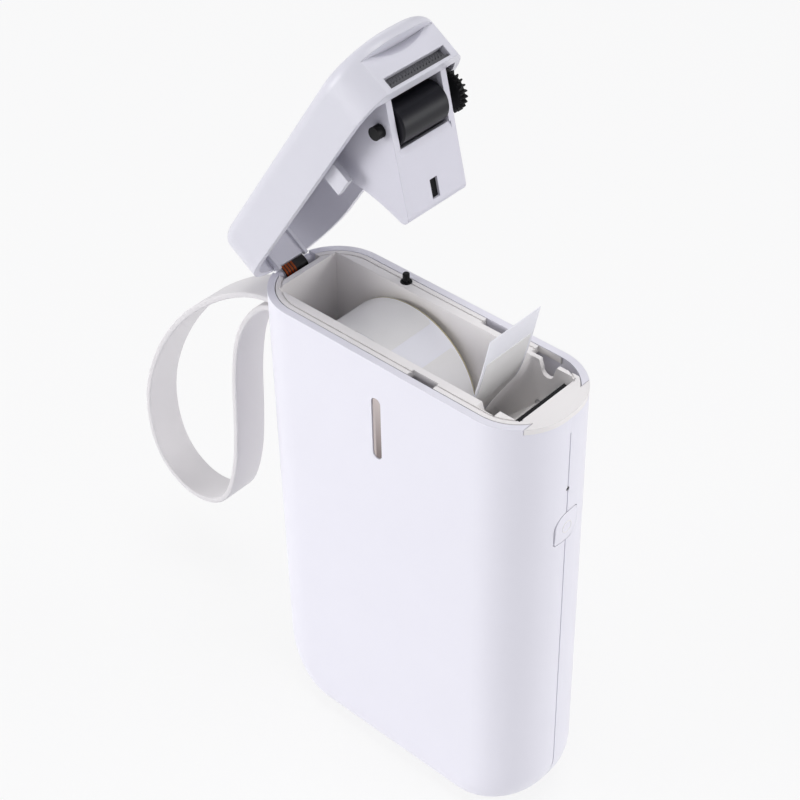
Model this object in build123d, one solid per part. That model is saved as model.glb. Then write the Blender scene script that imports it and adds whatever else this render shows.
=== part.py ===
from build123d import *
import os
from math import atan2, cos, hypot, pi, radians, sin, sqrt, tan

# A pocket label maker that stands on its base, with its lid open.
# X runs along the width: the lid's hinge is at -X and the label comes out at +X.
# Y runs through the depth, with the front face at -Y. Z is up from the centre of the base.
# The lid and all that it carries are drawn shut and then swung open about the hinge.

# Casing, in millimetres
body_width = 76.0
body_depth = 27.4
end_flat = 2.4
base_corner = 18.0
base_edge = 9.0
rim_height = 118.4
shell_wall = 1.6
seam_width = 0.3
seam_depth = 0.3

# Clearances
running_gap = 0.3
seat_gap = 0.1
bore_gap = 0.05

# Lid
lid_gap = 0.3
lid_height = 10.5
lid_wall = 1.4
lid_top_edge = 2.5
lid_end_inset = 3.2
lid_end_wall = 3.5
lid_brim = 2.8
lid_open_angle = 56.6
scoop_width = 14.6
scoop_drop = 1.9
scoop_depth = 1.3
outlet_sill = 0.7
outlet_height = 2.3
outlet_side_gap = 0.6

# Hinge
hinge_inset = 1.16
hinge_drop = 1.66
hinge_pin_radius = 0.5
hinge_barrel_radius = 1.15
hinge_arm_width = 6.6
hinge_knuckle_length = 1.55
hinge_block_width = 8.6
hinge_block_inset = 2.9
hinge_block_drop = 0.4
hinge_rib_width = 0.8
hinge_rib_proud = 0.5
hinge_rib_drop = 1.0
hinge_notch_width = 10.6

# Chassis: rim plate and label chamber
rim_plate = 1.5
chamber_left_inset = 5.5
chamber_right_inset = 5.8
chamber_side_inset = 5.1
chamber_wall = 1.2
chamber_corner = 7.0
cradle_foot = 12.0
cradle_room = 1.6
cradle_rise = 9.0
guide_gap = 1.9
guide_overrun = 1.2
guide_length = 14.6
guide_ledge = 2.0
head_recess = 2.2
head_recess_drop = 2.6
cap_inset = 3.6
cap_lip = 1.2
rim_groove_inset = 1.0
rim_groove_width = 0.35
rim_groove_depth = 0.4

# Label roll and strip
roll_x = -9.8
roll_drop = 19.9
roll_radius = 18.0
roll_side_gap = 1.1
core_outer = 7.5
core_wall = 1.0
strip_thickness = 0.2
strip_leave_angle = -20.0
strip_rise = 7.4
strip_bend = 16.0
strip_knee_inset = 5.1
strip_knee_drop = 2.6
strip_end_inset = 1.5
strip_end_rise = 14.0

# Roller and its carrier in the lid
roller_inset = 9.6
roller_drop = 2.0
roller_radius = 4.2
roller_side_gap = 2.3
roller_shaft_radius = 1.0
bush_radius = 1.35
bush_reach = 1.8
bush_cap = 0.4
carrier_side_gap = 0.4
carrier_wall = 1.2
carrier_tip_inset = 12.33
carrier_tip_drop = 18.68
carrier_tip_radius = 1.4
carrier_back_inset = 18.6
carrier_bulge_inset = 14.6
carrier_bulge_drop = 5.6
opening_length = 10.2
panel_step = 1.5
sensor_length = 4.1
sensor_width = 2.0
sensor_from_tip = 5.7

# Print head
head_angle = 70.0
head_contact_angle = -20.0
head_above = 1.7
head_below = 7.6
head_plate = 0.8
head_sink = 1.0
head_side_gap = 0.7
head_travel = 0.6
spring_length = 1.7
bracket_rise = 0.9
bracket_thickness = 0.6

# Gears and motor
gear_module = 0.35
gear_face = 1.2
gear_inset = 0.35
roller_teeth = 23
idler_teeth = 30
pinion_teeth = 10
mesh_gap = 0.09
tooth_backlash = 0.1
idler_pin_radius = 0.9
motor_radius = 6.0
motor_length = 15.0
motor_shaft_radius = 0.4

# Button, light and window in the casing
button_drop = 29.5
button_height = 7.2
button_width = 6.8
button_round = 3.2
button_sharp = 0.7
button_gap = 0.2
button_proud = 0.3
button_travel = 0.5
button_cap = 1.5
led_drop = 19.5
led_radius = 0.45
window_x = -0.55
window_drop = 17.0
window_height = 15.8
window_width = 2.3

# Lid switch pin
switch_x = -14.1
switch_inset = 3.1
switch_radius = 0.75
switch_height = 2.2
switch_depth = 4.2
switch_travel = 1.6

# Latches
latch_x = 9.9
latch_length = 5.0
latch_inset = 2.7
latch_thickness = 1.2
latch_reach = 4.0
latch_window_length = 6.6
latch_window_width = 1.9

# Wrist strap
strap_width = 9.0
strap_thickness = 1.4
strap_top_drop = 9.1
strap_spacing = 2.0
anchor_depth = 2.0
anchor_margin = 1.9

# Electronics
port_width = 8.9
port_height = 3.2
port_length = 7.3
board_thickness = 1.2
board_width = 44.0
board_bottom = 2.8
board_foot_width = 32.0
board_foot_height = 12.0
board_headroom = 44.4
board_screw_inset = 4.0
board_screw_low = 18.0
board_screw_high = 6.0
chip_size = 8.0
chip_height = 1.1
chip_inset = 8.0
chip_rise = 9.6
battery_size = (34.0, 9.6, 50.0)
battery_x = -6.0
battery_rise = 3.6
board_screw_radius = 0.8
boss_radius = 2.2
screw_head_radius = 1.6
screw_head_height = 1.1

# Sizes and places that follow from the ones above
half_width = body_width / 2
half_depth = body_depth / 2
plan_corner = (body_depth - end_flat) / 2
lid_bottom = rim_height + lid_gap
lid_top = lid_bottom + lid_height
lid_roof = lid_top - lid_wall
lid_end_x = half_width - lid_end_inset
brim_z = lid_top - lid_brim
hinge_x = -half_width + hinge_inset
hinge_z = rim_height - hinge_drop
hinge_block_face = -half_width + hinge_block_inset
rim_underside = rim_height - rim_plate
plate_inset = shell_wall + running_gap * 0.6
chamber_left = -half_width + chamber_left_inset
chamber_right = half_width - chamber_right_inset
chamber_half_depth = half_depth - chamber_side_inset
cap_start_x = half_width - cap_inset
gear_wall_y = chamber_half_depth + 1.0
gear_y = gear_wall_y + gear_inset
roll_z = rim_height - roll_drop
roll_width = 2 * (chamber_half_depth - roll_side_gap)
roller_x = lid_end_x - roller_inset
roller_z = rim_height - roller_drop
roller_length = 2 * (chamber_half_depth - roller_side_gap)
carrier_half_depth = chamber_half_depth - carrier_side_gap
carrier_tip_x = roller_x - carrier_tip_inset
carrier_tip_z = rim_height - carrier_tip_drop
carrier_left = roller_x - carrier_back_inset
head_width = 2 * (chamber_half_depth - head_side_gap)
outlet_width = 2 * (chamber_half_depth - outlet_side_gap)
button_z = rim_height - button_drop
led_z = rim_height - led_drop
window_z = rim_height - window_drop
switch_y = half_depth - switch_inset
latch_y = half_depth - latch_inset
strap_top_z = rim_height - strap_top_drop
strap_return_z = strap_top_z - strap_spacing
board_top = rim_height - board_headroom
board_middle = (board_bottom + board_top) / 2
battery_z = board_middle + battery_rise
hinge_axis = Axis((hinge_x, 0, hinge_z), (0, -1, 0))
parts = {}


def span_at(half, radius, height):
    """Half the casing's span at a height above its base, where the lower edge is round."""
    if height >= radius:
        return half
    return half - radius + sqrt(radius**2 - (radius - height) ** 2)


def casing_section(height, inset=0.0):
    """Plan section of the casing at a height, drawn in from its outside by an inset."""
    half_w = span_at(half_width - inset, base_corner - inset, height - inset)
    half_d = span_at(half_depth - inset, base_edge - inset, height - inset)
    corner = (plan_corner - inset) * half_d / (half_depth - inset)
    return Pos(0, 0, height) * RectangleRounded(2 * half_w, 2 * half_d, corner)


def casing_form(inset=0.0, top=rim_height):
    """The casing as a solid: a lofted round base under a straight upper part."""
    base_steps = 6
    angles = [90 * i / base_steps for i in range(base_steps)]
    heights = [inset + (base_edge - inset) * (1 - cos(radians(a))) for a in angles]
    heights += [base_edge + (base_corner - base_edge) * share for share in (0, 0.4, 0.75, 1)]
    lower = loft([casing_section(height, inset) for height in heights])
    upper = extrude(casing_section(base_corner, inset), top - base_corner)
    return lower + upper


def plan_prism(inset, bottom, top):
    """An upright prism of the casing's plan outline, drawn in by an inset."""
    outline = RectangleRounded(body_width - 2 * inset, body_depth - 2 * inset, plan_corner - inset)
    return extrude(Pos(0, 0, bottom) * outline, top - bottom)


def block(x0, x1, y0, y1, z0, z1):
    """A box between two corners."""
    size = (abs(x1 - x0), abs(y1 - y0), abs(z1 - z0))
    return Pos((x0 + x1) / 2, (y0 + y1) / 2, (z0 + z1) / 2) * Box(*size)


def rod(x, z, radius, y0, y1):
    """A cylinder that lies along Y."""
    return Pos(x, (y0 + y1) / 2, z) * Rot(90, 0, 0) * Cylinder(radius, abs(y1 - y0))


def side_plate(outline, y0, y1):
    """A plate cut to an outline of (x, z) points, from y0 to y1."""
    return side_extrude(make_face(Polyline(*outline, close=True)), y0, y1)


def side_extrude(face, y0, y1):
    """A face drawn with x and z as its axes, given thickness along Y."""
    return Pos(0, y1, 0) * extrude(Plane.XZ * face, y1 - y0)


def swing_open(shape):
    """Turns a piece drawn with the lid shut to where it is with the lid open."""
    return shape.rotate(hinge_axis, lid_open_angle)


def gear_outline(teeth, phase):
    """A spur gear's outline about the origin, with the middle of one tooth at a phase in degrees."""
    pitch_radius = gear_module * teeth / 2
    tip_radius = pitch_radius + gear_module
    root_radius = pitch_radius - 1.2 * gear_module
    half_tooth = (pi * gear_module / 2 - tooth_backlash) / 2 / pitch_radius
    flank = [(root_radius, 1.55), (pitch_radius, 1.0), (tip_radius, 0.45)]
    profile = [(r, -k) for r, k in flank] + [(r, k) for r, k in reversed(flank)]
    points = []
    for tooth in range(teeth):
        middle = radians(phase) + 2 * pi * tooth / teeth
        for radius, share in profile:
            angle = middle + share * half_tooth
            points.append((radius * cos(angle), radius * sin(angle)))
    return make_face(Polyline(*points, close=True))


def gear(teeth, phase, x, z, y0, bore):
    """A spur gear whose axis lies along Y, with its bore."""
    blank = gear_outline(teeth, phase) - Circle(bore)
    return Pos(x, 0, z) * side_extrude(blank, y0, y0 + gear_face)


def button_shape(grow=0.0):
    """The button's leaf outline: two opposite corners are round and two are nearly sharp."""
    half_w = button_width / 2 + grow
    half_h = button_height / 2 + grow
    face = Rectangle(2 * half_w, 2 * half_h)
    corners = face.vertices()
    round_ones = [v for v in corners if v.X * v.Y < 0]
    sharp_ones = [v for v in corners if v.X * v.Y > 0]
    face = fillet(round_ones, button_round + grow)
    sharp_places = [(v.X, v.Y) for v in sharp_ones]
    sharp_ones = [v for v in face.vertices() if (v.X, v.Y) in sharp_places]
    return fillet(sharp_ones, button_sharp + grow)


# Gear train: each centre is set from the one above it, and each phase meshes with it
roller_pitch = gear_module * roller_teeth / 2
idler_pitch = gear_module * idler_teeth / 2
pinion_pitch = gear_module * pinion_teeth / 2


def next_gear(x, z, distance, angle):
    """Centre of the gear that lies at a distance and angle from another one."""
    return x + distance * cos(radians(angle)), z + distance * sin(radians(angle))


upper_angle = -102.0
middle_angle = -94.0
lower_angle = -93.0
upper_idler = next_gear(roller_x, roller_z, roller_pitch + idler_pitch + mesh_gap, upper_angle)
lower_idler = next_gear(*upper_idler, 2 * idler_pitch + mesh_gap, middle_angle)
motor_place = next_gear(*lower_idler, idler_pitch + pinion_pitch + mesh_gap, lower_angle)
roller_phase = upper_angle
upper_phase = upper_angle + 180 + 180 / idler_teeth


def meshed_phase(phase, teeth, angle, next_teeth):
    """Phase of a gear that meshes with another one at an angle from its centre."""
    offset = (angle - phase) * teeth / 360
    offset -= round(offset)
    return angle + 180 + (180 + offset * 360) / next_teeth


lower_phase = meshed_phase(upper_phase, idler_teeth, middle_angle, idler_teeth)
pinion_phase = meshed_phase(lower_phase, idler_teeth, lower_angle, pinion_teeth)

# Print head: its face touches the label where the roller presses it
contact_out = (cos(radians(head_contact_angle)), sin(radians(head_contact_angle)))
face_along = (cos(radians(head_angle)), sin(radians(head_angle)))
contact_reach = roller_radius + strip_thickness
contact_x = roller_x + contact_reach * contact_out[0]
contact_z = roller_z + contact_reach * contact_out[1]


def head_point(along, depth):
    """A point of the print head, along its face from the contact line and in from the face."""
    x = contact_x + along * face_along[0] + depth * contact_out[0]
    z = contact_z + along * face_along[1] + depth * contact_out[1]
    return x, z


def head_slab(along0, along1, depth0, depth1, half):
    """A slab of the print head between two places along its face and two depths."""
    corners = [(along0, depth0), (along1, depth0), (along1, depth1), (along0, depth1)]
    return side_plate([head_point(*corner) for corner in corners], -half, half)


# Carrier: the slanted front panel runs from the lid's end bar down to the tip
panel_top = (lid_end_x - lid_end_wall, lid_bottom)
panel_run = (carrier_tip_x - panel_top[0], carrier_tip_z - panel_top[1])
panel_length = hypot(*panel_run)
panel_along = (panel_run[0] / panel_length, panel_run[1] / panel_length)
panel_out = (-panel_along[1], panel_along[0])


def panel_point(along, out):
    """A point along the carrier's slanted panel and out from it."""
    x = panel_top[0] + along * panel_along[0] + out * panel_out[0]
    z = panel_top[1] + along * panel_along[1] + out * panel_out[1]
    return x, z


def make_shells():
    """Front and rear half of the casing, with the hinge knuckles and the bosses inside."""
    shell = casing_form() - casing_form(shell_wall, rim_height + 1)
    knuckle_end = hinge_arm_width / 2 + 0.15
    tall = rim_height + 1
    notch_floor = hinge_z - hinge_barrel_radius - 0.2
    shell -= block(-half_width - 1, -30, -hinge_notch_width / 2, hinge_notch_width / 2, notch_floor, tall)
    shell -= block(cap_start_x - seat_gap, half_width + 1, -half_depth, half_depth, rim_height - cap_lip, tall)
    seam = casing_form() - casing_form(seam_depth, tall)
    seam_slab = block(-half_width - 1, half_width + 1, -seam_width / 2, seam_width / 2, -1, notch_floor - 2)
    shell -= seam & seam_slab
    strap_half = strap_width / 2 + running_gap
    strap_low = strap_return_z - strap_thickness / 2 - seat_gap
    strap_high = strap_top_z + strap_thickness / 2 + seat_gap
    shell -= block(-half_width - 1, -half_width + 4, -strap_half, strap_half, strap_low, strap_high)
    port = RectangleRounded(port_width + 0.6, port_height + 0.6, port_height / 2)
    shell -= extrude(Pos(0, 0, -1) * port, 4)
    button_hole = Plane.YZ * Pos(0, button_z) * button_shape(button_gap)
    shell -= Pos(half_width - 6, 0, 0) * extrude(button_hole, 8)
    shell -= Pos(half_width, 0, led_z) * Rot(0, 90, 0) * Cylinder(led_radius + bore_gap, 8)
    halves = {}
    for name, side in (("front_shell", -1), ("rear_shell", 1)):
        keep = block(-half_width - 2, half_width + 2, 0, side * half_depth * 2, -1, tall)
        half = shell & keep
        boss = rod(hinge_x, hinge_z, hinge_barrel_radius, side * knuckle_end,
                   side * (knuckle_end + hinge_knuckle_length))
        post = block(hinge_x - 0.9, hinge_x + hinge_barrel_radius, side * knuckle_end,
                     side * (knuckle_end + hinge_knuckle_length), notch_floor - 4, hinge_z)
        half += boss + (post & casing_form(0.2))
        half -= rod(hinge_x, hinge_z, hinge_pin_radius + bore_gap, -hinge_notch_width, hinge_notch_width)
        halves[name] = half
    slot = SlotCenterToCenter(window_height - window_width, window_width + 2 * seat_gap, rotation=90)
    halves["front_shell"] -= Pos(window_x, 0, window_z) * side_extrude(slot, -half_depth - 1, -half_depth + 4)
    for x, z in board_screw_places():
        boss = rod(x, z, boss_radius, board_back_y(), half_depth - shell_wall + 0.3)
        boss -= rod(x, z, board_screw_radius, board_back_y() - 1, half_depth - shell_wall - 1)
        halves["rear_shell"] += boss
    for x, z in chassis_screw_places():
        boss = rod(x, z, boss_radius, chamber_half_depth + seat_gap, half_depth - shell_wall + 0.3)
        boss -= rod(x, z, board_screw_radius, chamber_half_depth - 1, half_depth - shell_wall - 0.6)
        halves["rear_shell"] += boss
    parts.update(halves)


def board_back_y():
    """Rear face of the circuit board, which stands just behind the charging port."""
    return port_height / 2 + board_thickness


def board_screw_places():
    """The circuit board's four screws, as (x, z)."""
    reach = board_width / 2 - board_screw_inset
    heights = (board_bottom + board_screw_low, board_top - board_screw_high)
    return [(x, z) for x in (-reach, reach) for z in heights]


def chassis_screw_places():
    """The two screws of the chassis lugs, below the label chamber, as (x, z)."""
    lug_z = roll_z - roll_radius - running_gap - chamber_wall - 3.2
    return [(chamber_left + chamber_corner + 1.5, lug_z), (roll_x + cradle_foot - 3.2, lug_z)]


def chamber_outline(grow):
    """Side outline of the label chamber, as a face, grown by a wall thickness."""
    cradle = roll_radius + running_gap
    floor_z = roll_z - cradle
    left = chamber_left - grow
    guide_foot = panel_point(panel_length + guide_overrun, guide_gap + grow)
    guide_top = panel_point(panel_length - guide_length, guide_gap + grow)
    ledge_x = guide_top[0] + guide_ledge
    recess_z = guide_top[1] - head_recess_drop
    right = chamber_right + head_recess + grow * 0.6
    top = rim_height + 1
    outline = [(left, top), (left, floor_z + chamber_corner - grow), (left + chamber_corner, floor_z - grow),
               (roll_x + cradle_foot + grow, floor_z - grow),
               (roll_x + cradle + cradle_room + grow, floor_z + cradle_rise),
               guide_foot, guide_top, (ledge_x, guide_top[1]), (ledge_x, recess_z),
               (right, recess_z), (right, rim_underside - 0.01), (right, top)]
    return make_face(Polyline(*outline, close=True))


def make_chassis():
    """The inner frame: rim plate, end cap, label chamber, gear wall and screw lugs."""
    plate = plan_prism(plate_inset, rim_underside, rim_height)
    plate -= block(-half_width, chamber_left - chamber_wall - 0.1, -hinge_notch_width / 2,
                   hinge_notch_width / 2, rim_underside - 1, rim_height + 1)
    cap = plan_prism(0, rim_height - cap_lip, rim_height)
    cap &= block(cap_start_x, half_width + 1, -half_depth, half_depth, 0, rim_height + 1)
    outer = chamber_half_depth + chamber_wall
    tub = side_extrude(chamber_outline(chamber_wall), -outer, outer)
    tub &= block(-half_width, half_width, -outer, outer, 0, rim_height)
    tub &= casing_form(plate_inset)
    gear_wall = block(roller_x - 10.4, roller_x + 5.0, chamber_half_depth, gear_wall_y,
                      motor_place[1] - 8.5, rim_height - 0.5)
    frame = plate + cap + tub + gear_wall
    for x, z in chassis_screw_places():
        lug = block(x - 3, x + 3, chamber_half_depth - 2.4, chamber_half_depth, z - 3, z + 4.2)
        frame += lug - rod(x, z, board_screw_radius + 0.2, 0, half_depth)
    cavity = side_extrude(chamber_outline(0), -chamber_half_depth, chamber_half_depth)
    under_cap = block(chamber_right, half_width, -half_depth, half_depth, rim_underside, rim_height + 1)
    frame -= cavity - under_cap
    groove = plan_prism(plate_inset + rim_groove_inset, rim_height - rim_groove_depth, rim_height + 1)
    groove -= plan_prism(plate_inset + rim_groove_inset + rim_groove_width, 0, rim_height + 2)
    groove &= block(-half_width, cap_start_x - 2, -half_depth, half_depth, 0, rim_height + 2)
    frame -= groove
    gear_right = roller_x + 8.0
    gear_left = roller_x - roller_pitch - 1.0
    frame -= block(gear_left, gear_right, gear_wall_y, half_depth - shell_wall - 0.2,
                   rim_height - 14, rim_height + 1)
    frame -= block(roller_x - 11, roller_x + 6, gear_wall_y, half_depth, 0, rim_underside)
    notch_radius = bush_radius + seat_gap + 0.1
    mouth_half = notch_radius + 1.0
    for y0, y1 in ((-chamber_half_depth - bush_reach, 0), (0, gear_wall_y)):
        frame -= rod(roller_x, roller_z, notch_radius, y0, y1)
        mouth = [(roller_x - notch_radius, roller_z), (roller_x + notch_radius, roller_z),
                 (roller_x + mouth_half, rim_height + 1), (roller_x - mouth_half, rim_height + 1)]
        frame -= side_plate(mouth, y0, y1)
    for side in (-1, 1):
        window_y = side * latch_y
        frame -= block(latch_x - latch_window_length / 2, latch_x + latch_window_length / 2,
                       window_y - latch_window_width / 2, window_y + latch_window_width / 2,
                       rim_height - latch_reach - 2, rim_height + 1)
    frame -= Pos(switch_x, switch_y, rim_height) * Cylinder(switch_radius + bore_gap, 6)
    slot = SlotCenterToCenter(window_height - window_width, window_width, rotation=90)
    frame -= Pos(window_x, 0, window_z) * side_extrude(slot, -half_depth, 0)
    for x, z in (upper_idler, lower_idler):
        frame -= rod(x, z, idler_pin_radius + bore_gap, 0, half_depth)
    frame -= rod(*motor_place, 1.6, 0, half_depth)
    parts["chassis"] = frame


def make_casing_trim():
    """Window lens, light pipe, side button with its switch and board, and the charging port."""
    lens = SlotCenterToCenter(window_height - window_width, window_width, rotation=90)
    lens_front = -half_depth + 0.25
    parts["window_lens"] = Pos(window_x, 0, window_z) * side_extrude(lens, lens_front, -half_depth + shell_wall)
    pipe = Pos(half_width - 2.2, 0, led_z) * Rot(0, 90, 0) * Cylinder(led_radius, 4.2)
    parts["light_pipe"] = pipe
    cap_back = half_width - button_cap
    cap = Pos(cap_back, 0, 0) * extrude(Plane.YZ * Pos(0, button_z) * button_shape(), button_cap + button_proud)
    dome_radius = 26.0
    cap &= Pos(half_width + button_proud - dome_radius, 0, button_z) * Sphere(dome_radius)
    stem = Pos(cap_back - 0.6, 0, button_z) * Rot(0, 90, 0) * Cylinder(1.2, 1.4)
    parts["side_button"] = cap + stem
    switch_x0 = cap_back - 1.3 - button_travel - 2.2
    switch_body = block(switch_x0, switch_x0 + 1.6, -2.2, 2.2, button_z - 2.2, button_z + 2.2)
    plunger_end = cap_back - 1.3
    plunger_start = switch_x0 + 0.8
    bore = Pos(switch_x0 + 1.1, 0, button_z) * Rot(0, 90, 0) * Cylinder(1.0 + bore_gap, 1.8)
    plunger = Pos((plunger_start + plunger_end) / 2, 0, button_z) * Rot(0, 90, 0)
    parts["button_switch"] = switch_body - bore
    parts["switch_plunger"] = plunger * Cylinder(1.0, plunger_end - plunger_start)
    parts["button_board"] = block(switch_x0 - 1.0, switch_x0, -5, 5, button_z - 6, led_z + 4)
    led = block(switch_x0, half_width - 2.2 - 2.2, -0.8, 0.8, led_z - 1, led_z + 1)
    parts["status_led"] = led
    socket = RectangleRounded(port_width, port_height, port_height / 2 - 0.01)
    socket_wall = RectangleRounded(port_width - 0.6, port_height - 0.6, port_height / 2 - 0.31)
    port = extrude(Pos(0, 0, 0.9) * socket, port_length) - extrude(Pos(0, 0, 0) * socket_wall, port_length)
    tongue = block(-3.2, 3.2, -0.35, 0.35, 2.0, 0.9 + port_length)
    parts["charging_port"] = port + tongue


def make_electronics():
    """Circuit board, battery, lid switch and the flat cable that runs up to the lid."""
    back = board_back_y()
    front = back - board_thickness
    foot_top = board_bottom + board_foot_height
    board = block(-board_width / 2, board_width / 2, front, back, foot_top, board_top)
    board += block(-board_foot_width / 2, board_foot_width / 2, front, back, board_bottom, foot_top)
    for x, z in board_screw_places():
        board -= rod(x, z, board_screw_radius + 0.15, 0, back + 1)
    parts["circuit_board"] = board
    chip = Box(chip_size, chip_height, chip_size)
    parts["controller_chip"] = Pos(board_width / 2 - chip_inset, back + chip_height / 2,
                                   board_middle + chip_rise) * chip
    width, thick, tall = battery_size
    cell = block(battery_x - width / 2, battery_x + width / 2, -half_depth + shell_wall + 0.6,
                 -half_depth + shell_wall + 0.6 + thick, battery_z - tall / 2, battery_z + tall / 2)
    parts["battery"] = fillet(cell.edges().filter_by(Axis.Z), 2.5)
    pin = Cylinder(switch_radius, switch_height + switch_depth)
    pin = Pos(switch_x, switch_y, rim_height + (switch_height - switch_depth) / 2) * pin
    parts["lid_switch_pin"] = chamfer(pin.edges().group_by(Axis.Z)[-1], 0.2)
    pin_foot = rim_height - switch_depth
    body_top = pin_foot - switch_travel
    wall_y = chamber_half_depth + chamber_wall
    parts["lid_switch"] = block(switch_x - 2.4, switch_x + 2.4, wall_y, wall_y + 1.9, body_top - 4, body_top)
    cable_x = chamber_left - chamber_wall - seat_gap - 0.15
    parts["lid_cable"] = block(cable_x - 0.15, cable_x + 0.15, -4.5, 4.5, rim_height - 6.2, rim_height - 0.9)


def make_board_screws():
    """The screws of the circuit board and of the chassis lugs."""
    front = board_back_y() - board_thickness
    board_screws = []
    for x, z in board_screw_places():
        head = rod(x, z, screw_head_radius, front - screw_head_height, front)
        board_screws.append(head + rod(x, z, board_screw_radius, front - 0.1, front + 6))
    parts["board_screws"] = Compound(board_screws)
    lug_front = chamber_half_depth - 2.4
    chassis_screws = []
    for x, z in chassis_screw_places():
        head = rod(x, z, screw_head_radius, lug_front - screw_head_height, lug_front)
        chassis_screws.append(head + rod(x, z, board_screw_radius, lug_front - 0.1, lug_front + 4.6))
    parts["chassis_screws"] = Compound(chassis_screws)


def make_drive():
    """Motor, its pinion, the two idlers and their pins."""
    motor_y = chamber_half_depth
    x, z = motor_place
    motor = rod(x, z, motor_radius, motor_y - motor_length, motor_y)
    motor += rod(x, z, 1.5, motor_y, motor_y + 0.7)
    motor -= rod(x, z, motor_shaft_radius + bore_gap, motor_y - 2, motor_y + 2)
    parts["feed_motor"] = motor
    pinion = gear(pinion_teeth, pinion_phase, x, z, gear_y, motor_shaft_radius)
    pinion += rod(x, z, motor_shaft_radius, motor_y - 1.9, gear_y + gear_face)
    parts["motor_pinion"] = pinion
    bore = idler_pin_radius + bore_gap
    parts["lower_idler"] = gear(idler_teeth, lower_phase, *lower_idler, gear_y, bore)
    parts["upper_idler"] = gear(idler_teeth, upper_phase, *upper_idler, gear_y, bore)
    pins = [rod(x, z, idler_pin_radius, chamber_half_depth, gear_y + gear_face + 0.3)
            for x, z in (upper_idler, lower_idler)]
    parts["idler_pins"] = Compound(pins)


def make_print_head():
    """The heated plate on its metal heat sink, pushed to the roller by two springs."""
    half = head_width / 2
    parts["print_head"] = head_slab(-head_below, head_above, 0, head_plate, half)
    parts["head_sink"] = head_slab(-head_below, head_above, head_plate, head_plate + head_sink, half)
    spring_depth = head_plate + head_sink
    springs = []
    for y in (-4.5, 4.5):
        inner = head_point(-head_below + 3.0, spring_depth)
        outer = head_point(-head_below + 3.0, spring_depth + spring_length)
        centre = ((inner[0] + outer[0]) / 2, (inner[1] + outer[1]) / 2)
        length = hypot(outer[0] - inner[0], outer[1] - inner[1])
        turn = Rot(0, 90 - head_contact_angle, 0)
        springs.append(Pos(centre[0], y, centre[1]) * turn * (Cylinder(1.3, length) - Cylinder(0.8, length)))
    parts["head_springs"] = Compound(springs)
    bracket_depth = spring_depth + spring_length + head_travel + seat_gap
    bracket_half = chamber_half_depth - seat_gap
    parts["head_bracket"] = head_slab(-head_below + bracket_rise, 0, bracket_depth,
                                      bracket_depth + bracket_thickness, bracket_half)


def make_labels():
    """The label roll on its core, and the strip that stands up out of the chamber."""
    stock = rod(roll_x, roll_z, roll_radius, -roll_width / 2, roll_width / 2)
    parts["label_roll"] = stock - rod(roll_x, roll_z, core_outer, -roll_width, roll_width)
    core = rod(roll_x, roll_z, core_outer, -roll_width / 2, roll_width / 2)
    parts["roll_core"] = core - rod(roll_x, roll_z, core_outer - core_wall, -roll_width, roll_width)
    leave_angle = radians(strip_leave_angle)
    leave_radius = roll_radius + running_gap * 0.8
    start = (roll_x + leave_radius * cos(leave_angle), roll_z + leave_radius * sin(leave_angle))
    second = (start[0] - strip_rise * sin(leave_angle), start[1] + strip_rise * cos(leave_angle))
    knee = (roller_x - strip_knee_inset, rim_height - strip_knee_drop)
    end = (roller_x - strip_end_inset, rim_height + strip_end_rise)
    path = FilletPolyline(start, second, knee, end, radius=strip_bend)
    liner = side_ribbon(path, strip_thickness, roll_width)
    parts["label_strip"] = liner


def side_ribbon(path, thickness, width):
    """A flat ribbon that follows a path drawn in X and Z, with its width along Y."""
    wire = Plane.XZ * Wire(path.edges())
    start_plane = Plane(origin=wire @ 0, x_dir=(0, 1, 0), z_dir=wire % 0)
    return sweep(start_plane * Rectangle(width, thickness), path=wire)


def make_strap():
    """The wrist strap: a flat loop from its anchor in the hinge end and back again."""
    anchor_x = -half_width + shell_wall
    points = [(anchor_x, strap_top_z), (-43.0, strap_top_z), (-55.0, 103.4), (-70.0, 90.6), (-81.4, 74.0),
              (-88.0, 56.0), (-85.8, 38.6), (-74.6, 31.8), (-62.2, 36.4), (-56.8, 50.0), (-55.0, 65.5),
              (-54.4, 80.0), (-52.0, 93.5), (-46.6, 102.6), (-41.2, strap_return_z), (anchor_x, strap_return_z)]
    radii = []
    for before, corner, after in zip(points, points[1:], points[2:]):
        run_in = (corner[0] - before[0], corner[1] - before[1])
        run_out = (after[0] - corner[0], after[1] - corner[1])
        cross = run_in[0] * run_out[1] - run_in[1] * run_out[0]
        dot = run_in[0] * run_out[0] + run_in[1] * run_out[1]
        turn = abs(atan2(cross, dot))
        radii.append(0.45 * min(hypot(*run_in), hypot(*run_out)) / tan(turn / 2))
    path = FilletPolyline(*points, radius=radii)
    strap = side_ribbon(path, strap_thickness, strap_width)
    print("strap radii:", [round(radius, 1) for radius in radii])
    print("strap length:", round(path.length, 1), "volume per section:",
          round(strap.volume / (strap_width * strap_thickness), 1))
    parts["wrist_strap"] = strap
    half = strap_width / 2 + 0.6
    anchor = block(anchor_x, anchor_x + anchor_depth, -half, half,
                   strap_return_z - anchor_margin, strap_top_z + anchor_margin)
    parts["strap_anchor"] = fillet(anchor.edges().filter_by(Axis.Y), 0.4) & casing_form(shell_wall + bore_gap)


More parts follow.
